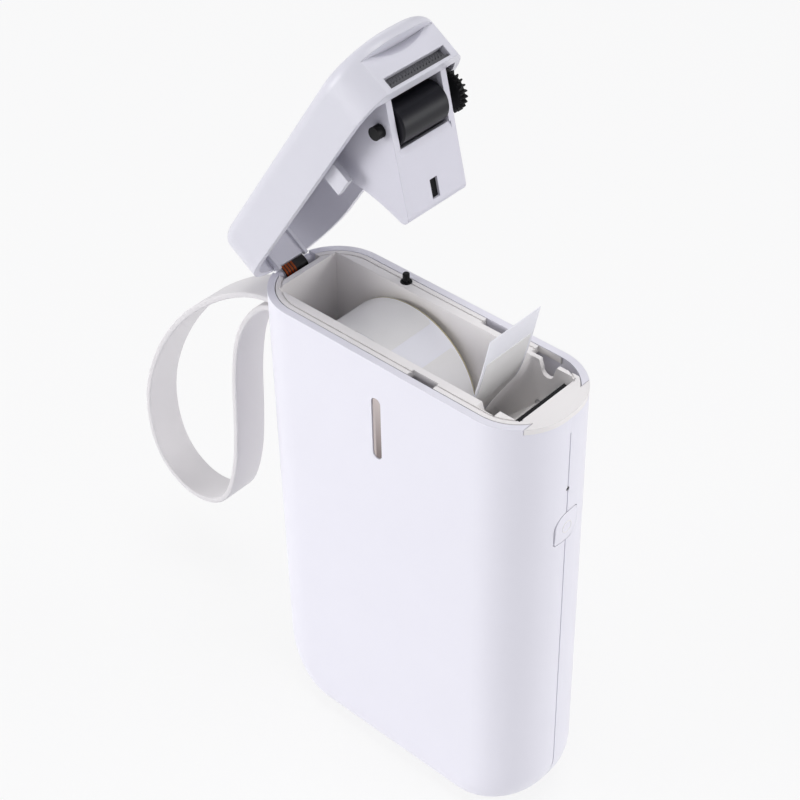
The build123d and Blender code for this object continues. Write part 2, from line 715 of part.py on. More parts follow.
def make_lid():
    """The lid's shell, with its end panel, finger scoop, outlet, hinge arm and latches."""
    lid = fillet(plan_prism(0, lid_bottom, lid_top).faces().sort_by(Axis.Z)[-1].edges(), lid_top_edge)
    lid -= block(lid_end_x, half_width + 1, -half_depth, half_depth, lid_bottom - 1, brim_z)
    scoop_radius = (scoop_width**2 / 4 + scoop_drop**2) / (2 * scoop_drop)
    scoop_z = brim_z - scoop_drop + scoop_radius
    level = scoop_radius - scoop_drop
    ball_offset = (scoop_radius**2 - level**2 - scoop_depth**2) / (2 * scoop_depth)
    ball = Pos(lid_end_x + ball_offset, 0, scoop_z) * Sphere(hypot(ball_offset, scoop_radius))
    lid -= ball & block(lid_end_x - 4, lid_end_x + 1, -half_depth, half_depth, lid_bottom, brim_z)
    hollow = plan_prism(lid_wall, lid_bottom - 1, lid_roof)
    hollow &= block(-half_width, lid_end_x - lid_end_wall, -half_depth, half_depth, 0, lid_top)
    lid -= hollow
    outlet_z = lid_bottom + outlet_sill
    lid -= block(lid_end_x - lid_end_wall - 1, lid_end_x + 1, -outlet_width / 2, outlet_width / 2,
                 outlet_z, outlet_z + outlet_height)
    lid += block(-half_width + lid_wall - 0.1, hinge_block_face, -hinge_block_width / 2, hinge_block_width / 2,
                 lid_bottom - hinge_block_drop, lid_roof + 0.1)
    for side in (-1, 1):
        outer = side * hinge_block_width / 2
        lid += block(hinge_block_face - hinge_rib_proud, hinge_block_face + hinge_rib_proud,
                     outer - side * hinge_rib_width, outer, lid_bottom - hinge_rib_drop, lid_roof + 0.1)
    arm = block(-half_width + 0.1, hinge_x + hinge_barrel_radius, -hinge_arm_width / 2, hinge_arm_width / 2,
                hinge_z, lid_bottom + 0.2)
    arm += rod(hinge_x, hinge_z, hinge_barrel_radius, -hinge_arm_width / 2, hinge_arm_width / 2)
    lid += arm
    lid -= rod(hinge_x, hinge_z, hinge_pin_radius + bore_gap, -half_depth, half_depth)
    for side in (-1, 1):
        y = side * latch_y
        x0 = latch_x - latch_length / 2
        x1 = latch_x + latch_length / 2
        tongue = block(x0, x1, y - latch_thickness / 2, y + latch_thickness / 2,
                       rim_height - latch_reach, lid_roof + 0.1)
        rib = block(x0, x1, y, side * (half_depth - lid_wall + 0.1), lid_bottom + 1.0, lid_roof + 0.1)
        lid += tongue + rib
    parts["lid_shell"] = swing_open(lid)
    pin_half = hinge_arm_width / 2 + 0.15 + hinge_knuckle_length - 0.1
    parts["hinge_pin"] = rod(hinge_x, hinge_z, hinge_pin_radius, -pin_half, pin_half)
    blade = block(lid_end_x - 0.9, lid_end_x - 0.4, -outlet_width / 2 + seat_gap, outlet_width / 2 - seat_gap,
                  outlet_z, outlet_z + 0.6)
    tooth_pitch = 0.8
    tooth_count = int((outlet_width - 2 * seat_gap) / tooth_pitch) - 1
    tooth = [(-tooth_pitch / 2, 0), (tooth_pitch / 2, 0), (0, 0.5)]
    for index in range(tooth_count):
        y = (index - (tooth_count - 1) / 2) * tooth_pitch
        face = make_face(Polyline(*tooth, close=True))
        blade += Pos(lid_end_x - 0.9, y, outlet_z + 0.6) * extrude(Plane.YZ * face, 0.5)
    parts["cutter_blade"] = swing_open(blade)


def panel_slab(reach, out0, out1, half):
    """A slab at the sensor's place on the panel, between two distances out from its face."""
    middle = panel_length - sensor_from_tip
    corners = [(middle - reach, out0), (middle + reach, out0), (middle + reach, out1), (middle - reach, out1)]
    return side_plate([panel_point(*corner) for corner in corners], -half, half)


def make_carrier():
    """The carrier under the lid, which holds the roller's bushes and the label sensor."""
    right_top = (panel_top[0] - seat_gap, lid_roof - seat_gap)
    right_foot = (right_top[0], panel_top[1])
    left_top = (carrier_left, right_top[1])
    left_foot = (carrier_left, lid_bottom + 0.6)
    tip_corner = (carrier_tip_x, carrier_tip_z)
    bulge = (roller_x - carrier_bulge_inset, roller_z - carrier_bulge_drop)
    profile = make_face([Line(right_top, right_foot), Line(right_foot, tip_corner),
                         ThreePointArc(tip_corner, bulge, left_foot),
                         Line(left_foot, left_top), Line(left_top, right_top)])
    tip = profile.vertices().sort_by(Axis.Y)[0]
    profile = fillet(tip, carrier_tip_radius)
    carrier = side_extrude(profile, -carrier_half_depth, carrier_half_depth)
    inner_half = carrier_half_depth - carrier_wall
    hollow = offset(profile, -carrier_wall)
    carrier -= side_extrude(hollow, -inner_half, inner_half)
    mouth = [panel_point(-0.2, 1.0), panel_point(opening_length, 1.0),
             panel_point(opening_length, -2.4), panel_point(-0.2, -2.4)]
    carrier -= side_plate(mouth, -inner_half + 0.3, inner_half - 0.3)
    chamfer_edge = [panel_point(opening_length - 0.1, -0.5), panel_point(opening_length - 0.1, 0.5),
                    panel_point(opening_length + panel_step, 0.5), panel_point(opening_length + panel_step, 0)]
    carrier -= side_plate(chamfer_edge, -inner_half - 0.1, inner_half + 0.1)
    for side in (-1, 1):
        carrier -= rod(roller_x, roller_z, bush_radius + 0.02, side * (inner_half - 1),
                       side * (carrier_half_depth + 1))
    carrier -= panel_slab(sensor_length / 2, 1, -2, sensor_width / 2)
    parts["roller_carrier"] = swing_open(carrier)
    sensor = panel_slab(sensor_length / 2 - seat_gap, -0.5, -1.4, sensor_width / 2 - seat_gap)
    parts["label_sensor"] = swing_open(sensor)
    bushes = []
    bore_start = -(carrier_half_depth + bush_reach - bush_cap)
    for side in (-1, 1):
        reach = carrier_half_depth + (bush_reach if side < 0 else gear_wall_y - carrier_half_depth - 0.2)
        bush = rod(roller_x, roller_z, bush_radius, side * (inner_half - 0.1), side * reach)
        bushes.append(bush - rod(roller_x, roller_z, roller_shaft_radius + bore_gap, bore_start, half_depth))
    parts["roller_bushes"] = swing_open(Compound(bushes))


def make_roller():
    """The rubber roller on its steel shaft, with the gear at its rear end."""
    sleeve = rod(roller_x, roller_z, roller_radius, -roller_length / 2, roller_length / 2)
    sleeve = chamfer(sleeve.edges(), 0.3)
    sleeve -= rod(roller_x, roller_z, roller_shaft_radius, -half_depth, half_depth)
    parts["platen_roller"] = swing_open(sleeve)
    front_end = -(carrier_half_depth + bush_reach - bush_cap - seat_gap)
    shaft = rod(roller_x, roller_z, roller_shaft_radius, front_end, gear_y + gear_face + 0.2)
    parts["roller_shaft"] = swing_open(shaft)
    wheel = gear(roller_teeth, roller_phase, roller_x, roller_z, gear_y, roller_shaft_radius)
    parts["roller_gear"] = swing_open(wheel)


make_shells()
make_chassis()
make_casing_trim()
make_electronics()
make_board_screws()
make_drive()
make_print_head()
make_labels()
make_strap()
make_lid()
make_carrier()
make_roller()

os.makedirs("parts", exist_ok=True)
for node, shape in parts.items():
    export_step(shape, f"parts/{node}.step")
    print(node, round(shape.volume, 1))
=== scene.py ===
from math import cos, degrees, hypot, pi, radians, sin

import bmesh
import bpy
from bpy.props import FloatProperty, FloatVectorProperty, IntProperty, PointerProperty
from bpy.types import Operator, Panel, PropertyGroup
from mathutils import Matrix, Vector


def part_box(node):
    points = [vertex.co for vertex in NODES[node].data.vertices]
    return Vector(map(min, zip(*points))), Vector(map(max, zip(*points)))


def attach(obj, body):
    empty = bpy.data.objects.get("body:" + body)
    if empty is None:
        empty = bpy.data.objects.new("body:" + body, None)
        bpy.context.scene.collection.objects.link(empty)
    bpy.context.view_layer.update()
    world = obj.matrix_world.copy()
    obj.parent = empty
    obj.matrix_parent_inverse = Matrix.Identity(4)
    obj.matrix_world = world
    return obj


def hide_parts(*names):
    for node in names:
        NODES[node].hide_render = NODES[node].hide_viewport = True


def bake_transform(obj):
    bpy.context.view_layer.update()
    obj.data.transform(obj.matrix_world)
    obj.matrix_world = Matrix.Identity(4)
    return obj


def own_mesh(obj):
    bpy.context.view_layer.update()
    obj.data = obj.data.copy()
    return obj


bl_info = {
    "name": "Pocket Label Maker",
    "version": (1, 0, 0),
    "blender": (4, 5, 0),
    "location": "View3D > Sidebar > Label Maker",
    "description": "Dresses a pocket thermal label maker: finishes, labels, wrist strap and small details",
    "category": "Object",
}

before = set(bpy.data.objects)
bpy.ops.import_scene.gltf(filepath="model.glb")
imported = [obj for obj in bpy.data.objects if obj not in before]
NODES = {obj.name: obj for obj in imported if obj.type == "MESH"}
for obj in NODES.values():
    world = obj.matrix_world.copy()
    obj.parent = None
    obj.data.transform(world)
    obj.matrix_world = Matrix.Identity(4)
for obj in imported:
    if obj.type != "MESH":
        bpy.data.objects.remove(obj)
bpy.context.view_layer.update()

MM = 0.001

# The lid: how far it stands open at rest, in degrees, and its hinge's line
LID_OPEN = 56.6
HINGE = Vector((-36.84 * MM, 0, 116.74 * MM))

# The label roll
ROLL_CENTRE = (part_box("label_roll")[0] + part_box("label_roll")[1]) / 2
ROLL_RADIUS = (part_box("label_roll")[1].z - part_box("label_roll")[0].z) / 2
CORE_RADIUS = (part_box("roll_core")[1].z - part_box("roll_core")[0].z) / 2
FULL_TURN = 2 * pi * ROLL_RADIUS
ROLL_STEPS = 180
ROLL_BEAD = 0.3 * MM
ROLL_MARGIN = 0.55 * MM
LABEL_STEPS = 32
LABEL_END_EASE = 0.5 * MM
LABEL_SEAM_GAP = 0.3 * MM
SHORTEST_LABEL = 1 * MM

# The strip: where it leaves the roll, in degrees about the roll, how far it rises before it bends, its bend
# and its end
STRIP_START_ANGLE = -20.0
STRIP_CLEARANCE = 0.24 * MM
STRIP_RISE = 7.4 * MM
STRIP_BEND = Vector((20.1, 0, 115.8)) * MM
STRIP_END = Vector((23.7, 0, 132.4)) * MM

# The plate behind the blade, at its place in the shut lid; it is partly painted shade in the outlet's recess
BACKING_X = 33.1 * MM
BACKING_HEIGHT = 120.56 * MM
BACKING_RIB_RISE = 0.08 * MM
BACKING_RIB_SEAT = 0.02 * MM
BACKING_ROUNDING = 0.1 * MM

# The clearance round the lid switch pin, and how far the button's ring is sunk
COLLAR_GAP = 0.05 * MM
RING_SEAT = 0.06 * MM

# The flex: its radius about the hinge, its rise along the lid, and how its layers lie on each other
FLEX_RADIUS = 1.42 * MM
FLEX_RISE = 1.35 * MM
FLEX_FOOT = 1 * MM
FLEX_STEPS = 12
FILM_HALF = 0.05 * MM
TRACK_TOP = 0.09 * MM

# The camera at the photograph's angle
CAMERA_AIM = Vector((-20.2, 14.4, 80.7)) * MM
CAMERA_DISTANCE = 421.7 * MM
CAMERA_AZIMUTH = 43.17
CAMERA_ELEVATION = 39.74
CAMERA_ROLL = -1.26
CAMERA_LENS = 85.06
CAMERA_SENSOR = 36.0

# Each lamp's place, what it aims at, its width in metres and its power in watts
LIGHTS = {
    "front_light": ((-0.62, -0.86, 0.25), (0.0, 0.0, 0.04), 0.5, 5.8),
    "side_light": ((0.92, 0.52, 0.30), (0.0, 0.0, 0.05), 0.5, 4.2),
    "top_light": ((0.20, -0.10, 1.18), (0.0, 0.0, 0.08), 0.5, 4.8),
    "back_light": ((-0.85, 0.55, 0.55), (-0.02, 0.0, 0.1), 0.6, 1.4),
}
WORLD_COLOUR = (0.90, 0.90, 0.95, 1)
WORLD_STRENGTH = 0.40
FLOOR_HALF = 3.0
FLOOR_GLOW = 0.97
FLOOR_GLOW_SHARE = 0.86

# The wrist strap's route, from its anchor in the hinge end round and back to it
STRAP_ROUTE = [
    (-0.0364, 0, 0.1093), (-0.0430, 0, 0.1093), (-0.0550, 0, 0.1034), (-0.0700, 0, 0.0906),
    (-0.0814, 0, 0.0740), (-0.0880, 0, 0.0560), (-0.0858, 0, 0.0386), (-0.0746, 0, 0.0318),
    (-0.0622, 0, 0.0364), (-0.0568, 0, 0.0500), (-0.0550, 0, 0.0655), (-0.0544, 0, 0.0800),
    (-0.0520, 0, 0.0935), (-0.0466, 0, 0.1026), (-0.0412, 0, 0.1073), (-0.0364, 0, 0.1073),
]


def length_property(name, description, millimetres):
    """A length that a user may change, shown in the scene's units."""
    return FloatProperty(name=name, description=description, default=millimetres * MM, min=0.0,
                         unit="LENGTH", precision=5)


def colour_property(name, description, default):
    """A colour that a user may change."""
    return FloatVectorProperty(name=name, description=description, default=default, min=0.0, max=1.0,
                               size=3, subtype="COLOR")


class LabelMakerSizes(PropertyGroup):
    strap_width: length_property("Strap width", "Width of the flat wrist strap", 9.0)
    strap_thickness: length_property("Strap thickness", "Thickness of the wrist strap", 1.4)
    strap_edge: length_property("Strap edge radius", "How round the strap's edges are", 0.4)
    strap_length: length_property("Strap length", "Length of the strap's loop, anchor to anchor", 200.4)
    label_length: length_property("Label length", "Length of one label on the roll", 26.2)
    label_gap: length_property("Label gap", "Gap between two labels on the liner", 6.6)
    label_width: length_property("Label width", "Width of a label across the roll", 13.2)
    label_tail: length_property("Bare liner", "Bare liner above the last label on the strip", 6.2)
    liner_width: length_property("Liner width", "Width of the liner that carries the labels", 15.0)
    liner_thickness: length_property("Liner thickness", "Thickness of the liner", 0.12)
    label_thickness: length_property("Label thickness", "How far a label stands up from the liner", 0.1)
    mark_radius: length_property("Button ring radius", "Radius of the plain ring on the button", 1.35)
    mark_width: length_property("Button ring width", "Width of the plain ring on the button", 0.22)
    collar_width: length_property("Collar width", "Width of the collar round the lid switch pin", 0.5)
    backing_length: length_property("Backing length", "Length of the dark plate behind the blade", 15.8)
    backing_height: length_property("Backing height", "Height of the dark plate behind the blade", 2.2)
    backing_thickness: length_property("Backing thickness", "Thickness of the plate behind the blade", 0.3)
    backing_ribs: IntProperty(name="Backing ribs", description="Number of fine ribs on the blade's plate",
                              default=24, min=1, max=60)
    flex_width: length_property("Flex width", "Width of the flex strip over the hinge", 6.4)
    track_width: length_property("Flex track width", "Width of one track on the flex strip", 0.5)
    track_count: IntProperty(name="Flex tracks", description="Number of tracks on the flex strip",
                             default=4, min=1, max=8)


class LabelMakerColours(PropertyGroup):
    casing: colour_property("Casing", "Satin moulded white of the casing", (0.84, 0.83, 0.90))
    # Painted shade: the lid is the casing's white plastic, made darker here to stand for the shade that falls
    # on it.
    lid: colour_property("Lid", "Satin moulded white of the lid", (0.69, 0.685, 0.745))
    inner: colour_property("Inner frame", "Matte moulded white inside", (0.91, 0.885, 0.875))
    # Painted shade: the carrier's white is made darker to stand for the shade under the lid.
    carrier: colour_property("Roller carrier", "Matte white of the carrier under the lid", (0.66, 0.65, 0.72))
    strap: colour_property("Strap", "Soft white of the wrist strap", (0.72, 0.70, 0.71))
    label: colour_property("Label", "Coated white paper of the labels", (0.88, 0.87, 0.86))
    liner: colour_property("Liner", "Waxy backing paper under the labels", (0.90, 0.90, 0.95))
    edge: colour_property("Wound edge", "Yellowish edge of the wound liner", (0.58, 0.52, 0.33))
    card: colour_property("Roll core", "Plain card of the roll's core", (0.42, 0.31, 0.20))
    rubber: colour_property("Roller rubber", "Ground black rubber of the roller", (0.008, 0.008, 0.013))
    black: colour_property("Black moulding", "Black of the gear, bushes and pin", (0.012, 0.012, 0.013))
    steel: colour_property("Steel", "Bright steel of shafts, pins and screws", (0.56, 0.56, 0.58))
    blade: colour_property("Blade steel", "Dark grey steel of the tear-off blade", (0.20, 0.20, 0.21))
    # Partly painted shade: the dark plate stands for the outlet's dark strip and for the shade in its recess.
    dark_backing_and_shade: colour_property("Blade backing", "Dark grey of the plate behind the blade", (0.20, 0.20, 0.215))
    sensor: colour_property("Sensor window", "Black window of the label sensor", (0.004, 0.004, 0.005))
    film: colour_property("Flex film", "Dark film of the flex strip", (0.006, 0.005, 0.004))
    copper: colour_property("Flex copper", "Copper of the flex strip's tracks", (0.42, 0.10, 0.03))
    # The window's colours are painted: the roll seen through its top, and painted shade at its foot.
    window: colour_property("Window", "Roll seen through the top of the window", (0.60, 0.52, 0.50))
    window_foot_shade: colour_property("Window foot", "Shade seen through the window's foot", (0.21, 0.165, 0.155))
    board: colour_property("Circuit board", "Green solder mask", (0.02, 0.13, 0.05))
    cell: colour_property("Battery film", "Blue film round the battery", (0.05, 0.10, 0.24))
    nylon: colour_property("Gear nylon", "Natural nylon of the idler gears", (0.62, 0.60, 0.52))
    floor: colour_property("Floor", "Plain pale floor", (0.93, 0.93, 0.94))


def sizes():
    return bpy.context.scene.label_maker_sizes


def colours():
    return bpy.context.scene.label_maker_colours


# Materials: small helpers that every finish below is made with

def add(tree, kind, sockets=None, **settings):
    """A node with its settings and its sockets' values, or the outputs that feed them."""
    made = tree.nodes.new(kind)
    for name, value in settings.items():
        setattr(made, name, value)
    for name, value in (sockets or {}).items():
        if isinstance(value, bpy.types.NodeSocket):
            tree.links.new(value, made.inputs[name])
        else:
            made.inputs[name].default_value = value
    return made


def rgba(colour, factor=1.0):
    return (colour[0] * factor, colour[1] * factor, colour[2] * factor, 1.0)


def start_finish(name, colour, roughness, **shader_values):
    """A material whose even values stand on the shader itself; returns it, its tree and its shader."""
    material = bpy.data.materials.new(name)
    material.use_nodes = True
    material.diffuse_color = rgba(colour)
    tree = material.node_tree
    shader = tree.nodes["Principled BSDF"]
    shader.inputs["Base Color"].default_value = rgba(colour)
    shader.inputs["Roughness"].default_value = roughness
    for name, value in shader_values.items():
        shader.inputs[name.replace("_", " ")].default_value = value
    return material, tree, shader


def place(tree, scale=(1, 1, 1)):
    """The object's own coordinates in metres, stretched by a scale."""
    own = add(tree, "ShaderNodeTexCoord").outputs["Object"]
    return add(tree, "ShaderNodeMapping", {"Vector": own, "Scale": scale}).outputs["Vector"]


def noise(tree, where, scale, detail=2.0, roughness=0.5):
    sockets = {"Vector": where, "Scale": scale, "Detail": detail, "Roughness": roughness}
    return add(tree, "ShaderNodeTexNoise", sockets).outputs["Fac"]


def remap(tree, value, low, high):
    """A value from 0 to 1 turned to run from low to high."""
    return add(tree, "ShaderNodeMapRange", {"Value": value, "To Min": low, "To Max": high}).outputs["Result"]


def blend_colours(tree, factor, first, second):
    """A colour between two, by a factor."""
    mix = add(tree, "ShaderNodeMix", data_type="RGBA")
    tree.links.new(factor, mix.inputs["Factor"])
    for socket, value in ((mix.inputs[6], first), (mix.inputs[7], second)):
        if isinstance(value, bpy.types.NodeSocket):
            tree.links.new(value, socket)
        else:
            socket.default_value = value
    return mix.outputs[2]


def soften_edges(tree, radius):
    """Normals that round a moulding's sharp edges by a small radius."""
    return add(tree, "ShaderNodeBevel", {"Radius": radius}, samples=4).outputs["Normal"]


def bump(tree, shader, height, depth, normal=None):
    """Raises the surface by a height pattern, in metres, over the given normals."""
    sockets = {"Height": height, "Distance": depth, "Strength": 1.0}
    if normal is not None:
        sockets["Normal"] = normal
    tree.links.new(add(tree, "ShaderNodeBump", sockets).outputs["Normal"], shader.inputs["Normal"])


def moulded(name, colour, roughness, grain=0.12 * MM, depth=0.006 * MM, tone=0.97, edge=0.15 * MM, **values):
    """Moulded plastic: a fine spark-eroded grain, slow changes of tone and gloss, and soft edges."""
    material, tree, shader = start_finish(name, colour, roughness, **values)
    where = place(tree)
    slow = noise(tree, where, 55.0, 3.0)
    tree.links.new(blend_colours(tree, slow, rgba(colour, tone), rgba(colour)), shader.inputs["Base Color"])
    gloss = remap(tree, noise(tree, where, 240.0, 2.0), roughness - 0.04, roughness + 0.04)
    tree.links.new(gloss, shader.inputs["Roughness"])
    bump(tree, shader, noise(tree, where, 1 / grain, 2.0), depth, normal=soften_edges(tree, edge))
    return material


def machined(name, colour, roughness, stretch=(1, 30, 1)):
    """Machined or rolled metal, with fine marks that run one way."""
    material, tree, shader = start_finish(name, colour, roughness, Metallic=1.0)
    marks = noise(tree, place(tree, stretch), 900.0, 4.0)
    tree.links.new(remap(tree, marks, roughness - 0.08, roughness + 0.10), shader.inputs["Roughness"])
    tree.links.new(blend_colours(tree, marks, rgba(colour, 0.86), rgba(colour)), shader.inputs["Base Color"])
    bump(tree, shader, marks, 0.004 * MM, normal=soften_edges(tree, 0.06 * MM))
    return material


def paper(name, colour, fibre=0.93):
    """Coated paper with faint fibres and a slight tooth."""
    material, tree, shader = start_finish(name, colour, 0.55)
    fibres = noise(tree, place(tree, (1, 3, 1)), 2600.0, 5.0, 0.65)
    shade = blend_colours(tree, fibres, rgba(colour, fibre), rgba(colour))
    tree.links.new(shade, shader.inputs["Base Color"])
    bump(tree, shader, fibres, 0.006 * MM)
    return material


def roll_sides(name, colour, shade):
    """The roll's sides: the edges of many wound turns, as fine rings about the core."""
    material, tree, shader = start_finish(name, colour, 0.7)
    own = add(tree, "ShaderNodeTexCoord").outputs["Object"]
    shift = [-ROLL_CENTRE.x, 0.0, -ROLL_CENTRE.z]
    centred = add(tree, "ShaderNodeMapping", {"Vector": own, "Location": shift, "Scale": (1, 0, 1)})
    rings = add(tree, "ShaderNodeTexWave", {"Vector": centred.outputs["Vector"], "Scale": 560.0,
                                            "Distortion": 0.6, "Detail": 2.0, "Detail Scale": 1.5},
                wave_type="RINGS", rings_direction="SPHERICAL").outputs["Fac"]
    tree.links.new(blend_colours(tree, rings, rgba(shade), rgba(colour)), shader.inputs["Base Color"])
    bump(tree, shader, rings, 0.02 * MM)
    return material


def roll_window(name, colour, foot):
    """The smoky window over the roll, with the roll seen through it painted on: lighter at its top and along
    one side, with painted shade darker at its foot.
    """
    material, tree, shader = start_finish(name, colour, 0.14, Transmission_Weight=0.12, IOR=1.49)
    low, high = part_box("window_lens")
    own = add(tree, "ShaderNodeTexCoord").outputs["Object"]
    split = add(tree, "ShaderNodeSeparateXYZ", {"Vector": own})
    # Painted shade: the colour falls from the roll's tone at the top to a dark tone at the foot, and a strip
    # along the left side keeps a lighter tone.
    shade_fall = {"Value": split.outputs["Z"], "From Min": high.z - 1 * MM, "From Max": low.z + 1 * MM}
    shade_fall = add(tree, "ShaderNodeMapRange", shade_fall).outputs["Result"]
    shade = blend_colours(tree, shade_fall, rgba(colour), rgba(foot))
    side = {"Value": split.outputs["X"], "From Min": low.x + 0.55 * MM, "From Max": low.x + 0.8 * MM}
    side = add(tree, "ShaderNodeMapRange", side).outputs["Result"]
    shade = blend_colours(tree, side, rgba(colour, 0.95), shade)
    tree.links.new(shade, shader.inputs["Base Color"])
    haze = remap(tree, noise(tree, place(tree), 900.0), 0.10, 0.20)
    tree.links.new(haze, shader.inputs["Roughness"])
    return material


def ground_rubber(name, colour):
    """Black rubber with the fine rings that grinding leaves round it."""
    material, tree, shader = start_finish(name, colour, 0.40, Specular_IOR_Level=0.28)
    rings = noise(tree, place(tree, (1, 12, 1)), 420.0, 4.0, 0.6)
    tree.links.new(blend_colours(tree, rings, rgba(colour, 0.4), rgba(colour)), shader.inputs["Base Color"])
    tree.links.new(remap(tree, rings, 0.34, 0.46), shader.inputs["Roughness"])
    bump(tree, shader, rings, 0.008 * MM, normal=soften_edges(tree, 0.1 * MM))
    return material


def make_finishes():
    """Every finish, by name."""
    tint = colours()
    return {
        "casing": moulded("casing_white", tint.casing, 0.36),
        # The lid's finish is the casing's white made darker: painted shade.
        "lid": moulded("lid_white_painted_shade", tint.lid, 0.36, edge=0.35 * MM),
        "inner": moulded("inner_frame_white", tint.inner, 0.52, tone=0.95),
        # The carrier's finish is a darker white: painted shade under the lid.
        "carrier": moulded("carrier_white_painted_shade", tint.carrier, 0.50, tone=0.96),
        "button": moulded("button_white", tint.casing, 0.24, depth=0.002 * MM),
        "strap": moulded("strap_silicone", tint.strap, 0.58, grain=0.2 * MM, depth=0.01 * MM,
                         edge=0.1 * MM, Sheen_Weight=0.2),
        "label": paper("label_paper", tint.label),
        "liner": paper("liner_paper", tint.liner, 0.95),
        "roll_sides": roll_sides("label_roll_sides", tint.label, tint.edge),
        "wound_edge": paper("wound_edge", tint.edge, 0.9),
        "card": paper("core_card", tint.card, 0.7),
        "rubber": ground_rubber("roller_rubber", tint.rubber),
        "black": moulded("black_moulding", tint.black, 0.45, tone=0.6, edge=0.06 * MM,
                         Specular_IOR_Level=0.15),
        "steel": machined("bright_steel", tint.steel, 0.28),
        "blade": machined("blade_steel", tint.blade, 0.42, (1, 1, 30)),
        # The plate behind the blade is partly painted shade in the outlet's recess.
        "dark_backing_and_shade": machined("blade_backing_and_shade", tint.dark_backing_and_shade, 0.5, (1, 30, 1)),
        "sensor": moulded("sensor_window", tint.sensor, 0.5, depth=0.002 * MM, tone=0.6, edge=0.04 * MM,
                          Specular_IOR_Level=0.1),
        "sink": machined("sink_aluminium", tint.steel, 0.38, (1, 1, 20)),
        "glaze": moulded("head_glaze", tint.black, 0.15, depth=0.001 * MM, tone=0.8),
        "film": moulded("flex_film", tint.film, 0.35, tone=0.7),
        "copper": machined("flex_copper", tint.copper, 0.45, (1, 1, 12)),
        "window": roll_window("roll_window", tint.window, tint.window_foot_shade),
        "light": moulded("light_pipe_dark", tint.black, 0.2, depth=0.001 * MM),
        "board": moulded("board_green", tint.board, 0.34, tone=0.8),
        "cell": moulded("battery_film", tint.cell, 0.3, tone=0.85),
        "nylon": moulded("gear_nylon", tint.nylon, 0.45, tone=0.92, edge=0.05 * MM),
    }


FINISHES = {}

NODE_FINISHES = {
    "casing": ["front_shell", "rear_shell"],
    "inner": ["chassis", "strap_anchor"],
    "window": ["window_lens"],
    "light": ["light_pipe", "status_led"],
    "button": ["side_button"],
    "black": ["button_switch", "switch_plunger", "controller_chip", "lid_switch", "lid_switch_pin"],
    "board": ["button_board", "circuit_board"],
    "cell": ["battery"],
    "steel": ["charging_port", "board_screws", "chassis_screws", "feed_motor", "idler_pins",
              "head_bracket", "head_springs", "hinge_pin"],
    "sink": ["head_sink"],
    "glaze": ["print_head"],
    "nylon": ["lower_idler", "upper_idler", "motor_pinion"],
    "card": ["roll_core"],
}

LID_FINISHES = {
    "lid": ["lid_shell"],
    "carrier": ["roller_carrier"],
    "blade": ["cutter_blade"],
    "sensor": ["label_sensor"],
    "black": ["roller_bushes", "roller_gear"],
    "steel": ["roller_shaft"],
    "rubber": ["platen_roller"],
}


def finish(name):
    """A finish by name; all of them are made at the first call."""
    if not FINISHES:
        FINISHES.update(make_finishes())
    return FINISHES[name]


def dress(node, material):
    """Gives a CAD node its finish in each of its material slots."""
    if not NODES[node].material_slots:
        NODES[node].data.materials.append(material)
    for slot in NODES[node].material_slots:
        slot.material = material


def dress_all(table):
    for name, nodes in table.items():
        for node in nodes:
            dress(node, finish(name))


# Meshes

def piece(name, vertices, faces, materials, body, slot, smooth=True):
    """A mesh piece from its points and faces, with its finishes, that rides on a body."""
    mesh = bpy.data.meshes.new(name)
    mesh.from_pydata([tuple(v) for v in vertices], [], faces)
    for material in materials:
        mesh.materials.append(material)
    tidy = bmesh.new()
    tidy.from_mesh(mesh)
    bmesh.ops.remove_doubles(tidy, verts=tidy.verts, dist=0.001 * MM)
    bmesh.ops.recalc_face_normals(tidy, faces=tidy.faces)
    tidy.to_mesh(mesh)
    tidy.free()
    made = bpy.data.objects.new(name, mesh)
    bpy.context.scene.collection.objects.link(made)
    if smooth:
        for face in mesh.polygons:
            face.use_smooth = True
    if body:
        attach(made, body)
    return made


def swept(rings, caps=True):
    """Points and faces of a skin over closed rings of equal count."""
    vertices = [point for ring_points in rings for point in ring_points]
    count = len(rings[0])
    faces = []
    for row in range(len(rings) - 1):
        for column in range(count):
            a = row * count + column
            b = row * count + (column + 1) % count
            faces.append((a, b, b + count, a + count))
    if caps:
        faces.append(tuple(range(count)))
        faces.append(tuple(range((len(rings) - 1) * count, len(rings) * count)))
    return vertices, faces


def rounded_rectangle(width, height, radius, steps=4):
    """Points of a rectangle with round corners about the origin."""
    points = []
    for corner, (sx, sy) in enumerate(((1, 1), (-1, 1), (-1, -1), (1, -1))):
        for step in range(steps + 1):
            angle = pi / 2 * (corner + step / steps)
            points.append((sx * (width / 2 - radius) + radius * cos(angle),
                           sy * (height / 2 - radius) + radius * sin(angle)))
    return points


def route_points(points, resolution=24):
    """Points along the smooth line that has the given points as its control points."""
    curve = bpy.data.curves.new("route", "CURVE")
    curve.dimensions = "3D"
    curve.resolution_u = resolution
    spline = curve.splines.new("NURBS")
    spline.points.add(len(points) - 1)
    for target, point in zip(spline.points, points):
        target.co = (*point, 1.0)
    spline.order_u = 3
    spline.use_endpoint_u = True
    line = bpy.data.objects.new("route", curve)
    bpy.context.scene.collection.objects.link(line)
    bpy.context.view_layer.update()
    mesh = bpy.data.meshes.new_from_object(line)
    found = [vertex.co.copy() for vertex in mesh.vertices]
    bpy.data.objects.remove(line)
    bpy.data.curves.remove(curve)
    bpy.data.meshes.remove(mesh)
    return found


def side_frames(points):
    """For each point of a line in the XZ plane, the direction across it in that plane."""
    frames = []
    for index in range(len(points)):
        before = points[max(index - 1, 0)]
        after = points[min(index + 1, len(points) - 1)]
        along = (after - before).normalized()
        frames.append(along.cross(Vector((0, 1, 0))))
    return frames


# Operators, one for each piece or group of like pieces

class LABELMAKER_OT_stage(Operator):
    """Makes the floor, the soft lights and the camera at the photograph's angle"""
    bl_idname = "labelmaker.stage"
    bl_label = "Stage"

    def execute(self, context):
        make_camera()
        make_floor()
        make_lights()
        return {"FINISHED"}


